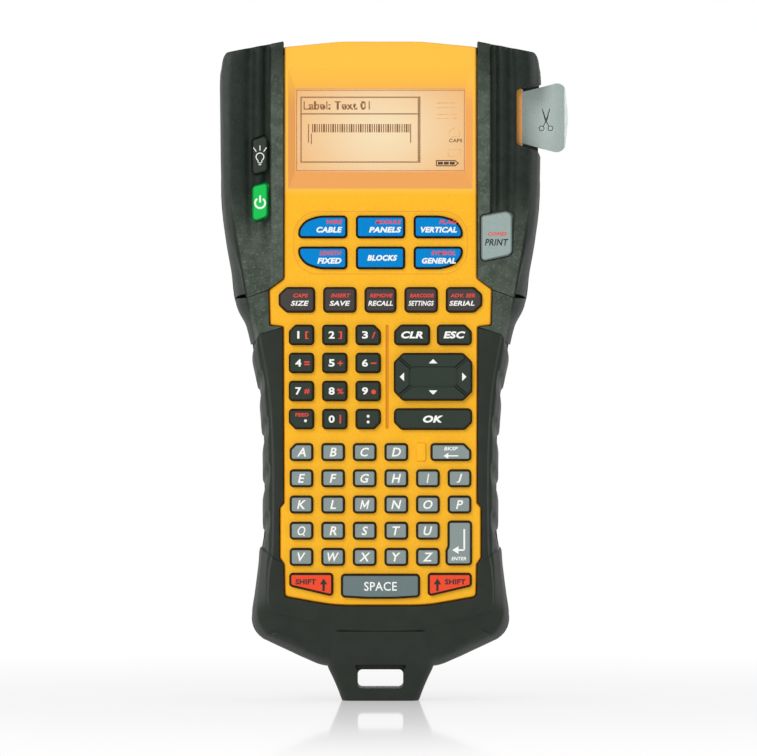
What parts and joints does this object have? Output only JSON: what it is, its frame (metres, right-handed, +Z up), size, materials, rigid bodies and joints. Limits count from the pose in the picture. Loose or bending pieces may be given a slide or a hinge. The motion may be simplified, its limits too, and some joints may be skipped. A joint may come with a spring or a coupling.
{
  "type": "handheld label maker",
  "caption": "Upright handheld label printer with a wide display head, a keypad down a slim grip, a side cutter lever, two rear doors and a strap tab.",
  "frame": {"origin": "centre of the flat end of the strap tab, on which the device stands", "axes": "+Z up along the device to its head, -Y out of its keypad face, +X to the right seen from the keypad"},
  "size_m": [0.1216, 0.0576, 0.2304],
  "materials": {
    "yellow_plastic": "fine moulded texture",
    "dark_rubber": "textured soft-touch overmould",
    "dark_plastic": "fine spark-eroded texture",
    "window": "clear gloss acrylic",
    "display": "lit amber panel",
    "key_blue": "satin",
    "key_brown": "satin",
    "key_dark_green": "satin",
    "key_grey": "satin",
    "key_red": "satin",
    "key_light_grey": "satin",
    "key_green": "satin",
    "lever_grey": "semi-gloss",
    "silicone": "matt",
    "circuit_board": "solder mask",
    "cell_wrap": "plain printed sleeve",
    "nickel": "nickel plated",
    "steel": "satin",
    "aluminium": "satin",
    "gear_white": "moulded acetal",
    "platen_rubber": "ground rubber",
    "cassette_plastic": "smooth"
  },
  "bodies": {
    "housing": {"batteries": "cell_wrap", "battery_contacts": "nickel", "cutter_anvil": "steel", "cutter_pin": "steel", "cutter_spring": "steel", "drive_motor": "steel", "front_cover": "yellow_plastic", "housing_screws": "steel", "keypad_mat": "silicone", "label_cassette": "cassette_plastic", "lcd_lens": "window", "lcd_panel": "display", "left_rail": "dark_rubber", "lower_boot": "dark_rubber", "main_board": "circuit_board", "mechanism_chassis": "steel", "power_socket": "dark_plastic", "print_head": "aluminium", "rear_housing": "dark_plastic", "right_rail": "dark_rubber"},
    "function_key_1": {"function_key_1": "key_brown"},
    "function_key_2": {"function_key_2": "key_brown"},
    "function_key_3": {"function_key_3": "key_brown"},
    "function_key_4": {"function_key_4": "key_brown"},
    "function_key_5": {"function_key_5": "key_brown"},
    "hot_key_1": {"hot_key_1": "key_blue"},
    "hot_key_2": {"hot_key_2": "key_blue"},
    "hot_key_3": {"hot_key_3": "key_blue"},
    "hot_key_4": {"hot_key_4": "key_blue"},
    "hot_key_5": {"hot_key_5": "key_blue"},
    "hot_key_6": {"hot_key_6": "key_blue"},
    "letter_keys_row_1": {"letter_keys_row_1": "key_grey"},
    "letter_keys_row_2": {"letter_keys_row_2": "key_grey"},
    "letter_keys_row_3": {"letter_keys_row_3": "key_grey"},
    "letter_keys_row_4": {"letter_keys_row_4": "key_grey"},
    "letter_keys_row_5": {"letter_keys_row_5": "key_grey"},
    "number_keys_column_1": {"number_keys_column_1": "key_dark_green"},
    "number_keys_column_2": {"number_keys_column_2": "key_dark_green"},
    "number_keys_column_3": {"number_keys_column_3": "key_dark_green"},
    "clear_key": {"clear_key": "key_dark_green"},
    "escape_key": {"escape_key": "key_dark_green"},
    "ok_key": {"ok_key": "key_dark_green"},
    "backspace_key": {"backspace_key": "key_grey"},
    "enter_key": {"enter_key": "key_grey"},
    "left_shift_key": {"left_shift_key": "key_red"},
    "right_shift_key": {"right_shift_key": "key_red"},
    "space_key": {"space_key": "key_light_grey"},
    "power_button": {"power_button": "key_green"},
    "backlight_button": {"backlight_button": "key_dark_green"},
    "print_button": {"print_button": "key_light_grey"},
    "nav_pad": {"nav_pad": "key_dark_green"},
    "cutter_lever": {"cutter_lever": "lever_grey", "cutter_blade": "steel"},
    "cassette_door": {"cassette_door": "dark_plastic"},
    "battery_door": {"battery_door": "dark_plastic"},
    "platen": {"platen_roller": "platen_rubber", "platen_gear": "gear_white"},
    "motor_pinion": {"motor_pinion": "gear_white"},
    "ribbon_spindle": {"ribbon_spindle": "gear_white"}
  },
  "joints": [
    {"name": "nav_rock", "type": "hinge", "parent": "housing", "child": "nav_pad", "pos_m": [0.0183, -0.0209, 0.1135], "axis": [1, 0, 0], "range_deg": [-2.5, 2.5], "stiffness_Nm_per_rad": 0.6},
    {"name": "cutter_lever_pull", "type": "hinge", "parent": "housing", "child": "cutter_lever", "pos_m": [0.0465, -0.009, 0.2], "axis": [0, 0, 1], "range_deg": [0, 20], "stiffness_Nm_per_rad": 0.5, "springref_deg": -5.73},
    {"name": "cassette_door_hinge", "type": "hinge", "parent": "housing", "child": "cassette_door", "pos_m": [-0.0426, 0.0279, 0.187], "axis": [0, 0, 1], "range_deg": [0, 95]},
    {"name": "battery_door_hinge", "type": "hinge", "parent": "housing", "child": "battery_door", "pos_m": [0, 0.0189, 0.0254], "axis": [-1, 0, 0], "range_deg": [0, 95]},
    {"name": "platen_spin", "type": "hinge", "parent": "housing", "child": "platen", "pos_m": [0.027, -0.008, 0.196], "axis": [0, 1, 0], "continuous": true},
    {"name": "motor_pinion_spin", "type": "hinge", "parent": "housing", "child": "motor_pinion", "pos_m": [0.03807, -0.008, 0.17828], "axis": [0, 1, 0], "continuous": true},
    {"name": "ribbon_spindle_spin", "type": "hinge", "parent": "housing", "child": "ribbon_spindle", "pos_m": [0.00695, -0.008, 0.18579], "axis": [0, 1, 0], "continuous": true},
    {"name": "backlight_button_press", "type": "slide", "parent": "housing", "child": "backlight_button", "axis": [0, 1, 0], "range_m": [0, 0.0008], "stiffness_N_per_m": 600},
    {"name": "backspace_key_press", "type": "slide", "parent": "housing", "child": "backspace_key", "axis": [0, 1, 0], "range_m": [0, 0.001], "stiffness_N_per_m": 600},
    {"name": "clear_key_press", "type": "slide", "parent": "housing", "child": "clear_key", "axis": [0, 1, 0], "range_m": [0, 0.001], "stiffness_N_per_m": 600},
    {"name": "enter_key_press", "type": "slide", "parent": "housing", "child": "enter_key", "axis": [0, 1, 0], "range_m": [0, 0.001], "stiffness_N_per_m": 600},
    {"name": "escape_key_press", "type": "slide", "parent": "housing", "child": "escape_key", "axis": [0, 1, 0], "range_m": [0, 0.001], "stiffness_N_per_m": 600},
    {"name": "function_key_1_press", "type": "slide", "parent": "housing", "child": "function_key_1", "axis": [0, 1, 0], "range_m": [0, 0.001], "stiffness_N_per_m": 600},
    {"name": "function_key_2_press", "type": "slide", "parent": "housing", "child": "function_key_2", "axis": [0, 1, 0], "range_m": [0, 0.001], "stiffness_N_per_m": 600},
    {"name": "function_key_3_press", "type": "slide", "parent": "housing", "child": "function_key_3", "axis": [0, 1, 0], "range_m": [0, 0.001], "stiffness_N_per_m": 600},
    {"name": "function_key_4_press", "type": "slide", "parent": "housing", "child": "function_key_4", "axis": [0, 1, 0], "range_m": [0, 0.001], "stiffness_N_per_m": 600},
    {"name": "function_key_5_press", "type": "slide", "parent": "housing", "child": "function_key_5", "axis": [0, 1, 0], "range_m": [0, 0.001], "stiffness_N_per_m": 600},
    {"name": "hot_key_1_press", "type": "slide", "parent": "housing", "child": "hot_key_1", "axis": [0, 1, 0], "range_m": [0, 0.001], "stiffness_N_per_m": 600},
    {"name": "hot_key_2_press", "type": "slide", "parent": "housing", "child": "hot_key_2", "axis": [0, 1, 0], "range_m": [0, 0.001], "stiffness_N_per_m": 600},
    {"name": "hot_key_3_press", "type": "slide", "parent": "housing", "child": "hot_key_3", "axis": [0, 1, 0], "range_m": [0, 0.001], "stiffness_N_per_m": 600},
    {"name": "hot_key_4_press", "type": "slide", "parent": "housing", "child": "hot_key_4", "axis": [0, 1, 0], "range_m": [0, 0.001], "stiffness_N_per_m": 600},
    {"name": "hot_key_5_press", "type": "slide", "parent": "housing", "child": "hot_key_5", "axis": [0, 1, 0], "range_m": [0, 0.001], "stiffness_N_per_m": 600},
    {"name": "hot_key_6_press", "type": "slide", "parent": "housing", "child": "hot_key_6", "axis": [0, 1, 0], "range_m": [0, 0.001], "stiffness_N_per_m": 600},
    {"name": "left_shift_key_press", "type": "slide", "parent": "housing", "child": "left_shift_key", "axis": [0, 1, 0], "range_m": [0, 0.001], "stiffness_N_per_m": 600},
    {"name": "letter_keys_row_1_press", "type": "slide", "parent": "housing", "child": "letter_keys_row_1", "axis": [0, 1, 0], "range_m": [0, 0.001], "stiffness_N_per_m": 600},
    {"name": "letter_keys_row_2_press", "type": "slide", "parent": "housing", "child": "letter_keys_row_2", "axis": [0, 1, 0], "range_m": [0, 0.001], "stiffness_N_per_m": 600},
    {"name": "letter_keys_row_3_press", "type": "slide", "parent": "housing", "child": "letter_keys_row_3", "axis": [0, 1, 0], "range_m": [0, 0.001], "stiffness_N_per_m": 600},
    {"name": "letter_keys_row_4_press", "type": "slide", "parent": "housing", "child": "letter_keys_row_4", "axis": [0, 1, 0], "range_m": [0, 0.001], "stiffness_N_per_m": 600},
    {"name": "letter_keys_row_5_press", "type": "slide", "parent": "housing", "child": "letter_keys_row_5", "axis": [0, 1, 0], "range_m": [0, 0.001], "stiffness_N_per_m": 600},
    {"name": "number_keys_column_1_press", "type": "slide", "parent": "housing", "child": "number_keys_column_1", "axis": [0, 1, 0], "range_m": [0, 0.001], "stiffness_N_per_m": 600},
    {"name": "number_keys_column_2_press", "type": "slide", "parent": "housing", "child": "number_keys_column_2", "axis": [0, 1, 0], "range_m": [0, 0.001], "stiffness_N_per_m": 600},
    {"name": "number_keys_column_3_press", "type": "slide", "parent": "housing", "child": "number_keys_column_3", "axis": [0, 1, 0], "range_m": [0, 0.001], "stiffness_N_per_m": 600},
    {"name": "ok_key_press", "type": "slide", "parent": "housing", "child": "ok_key", "axis": [0, 1, 0], "range_m": [0, 0.001], "stiffness_N_per_m": 600},
    {"name": "power_button_press", "type": "slide", "parent": "housing", "child": "power_button", "axis": [0, 1, 0], "range_m": [0, 0.0008], "stiffness_N_per_m": 600},
    {"name": "print_button_press", "type": "slide", "parent": "housing", "child": "print_button", "axis": [0, 1, 0], "range_m": [0, 0.0008], "stiffness_N_per_m": 600},
    {"name": "right_shift_key_press", "type": "slide", "parent": "housing", "child": "right_shift_key", "axis": [0, 1, 0], "range_m": [0, 0.001], "stiffness_N_per_m": 600},
    {"name": "space_key_press", "type": "slide", "parent": "housing", "child": "space_key", "axis": [0, 1, 0], "range_m": [0, 0.001], "stiffness_N_per_m": 600}
  ],
  "couplings": [
    {"joint": "motor_pinion_spin", "follows": "platen_spin", "ratio": -2.25},
    {"joint": "ribbon_spindle_spin", "follows": "platen_spin", "ratio": -1.8}
  ]
}
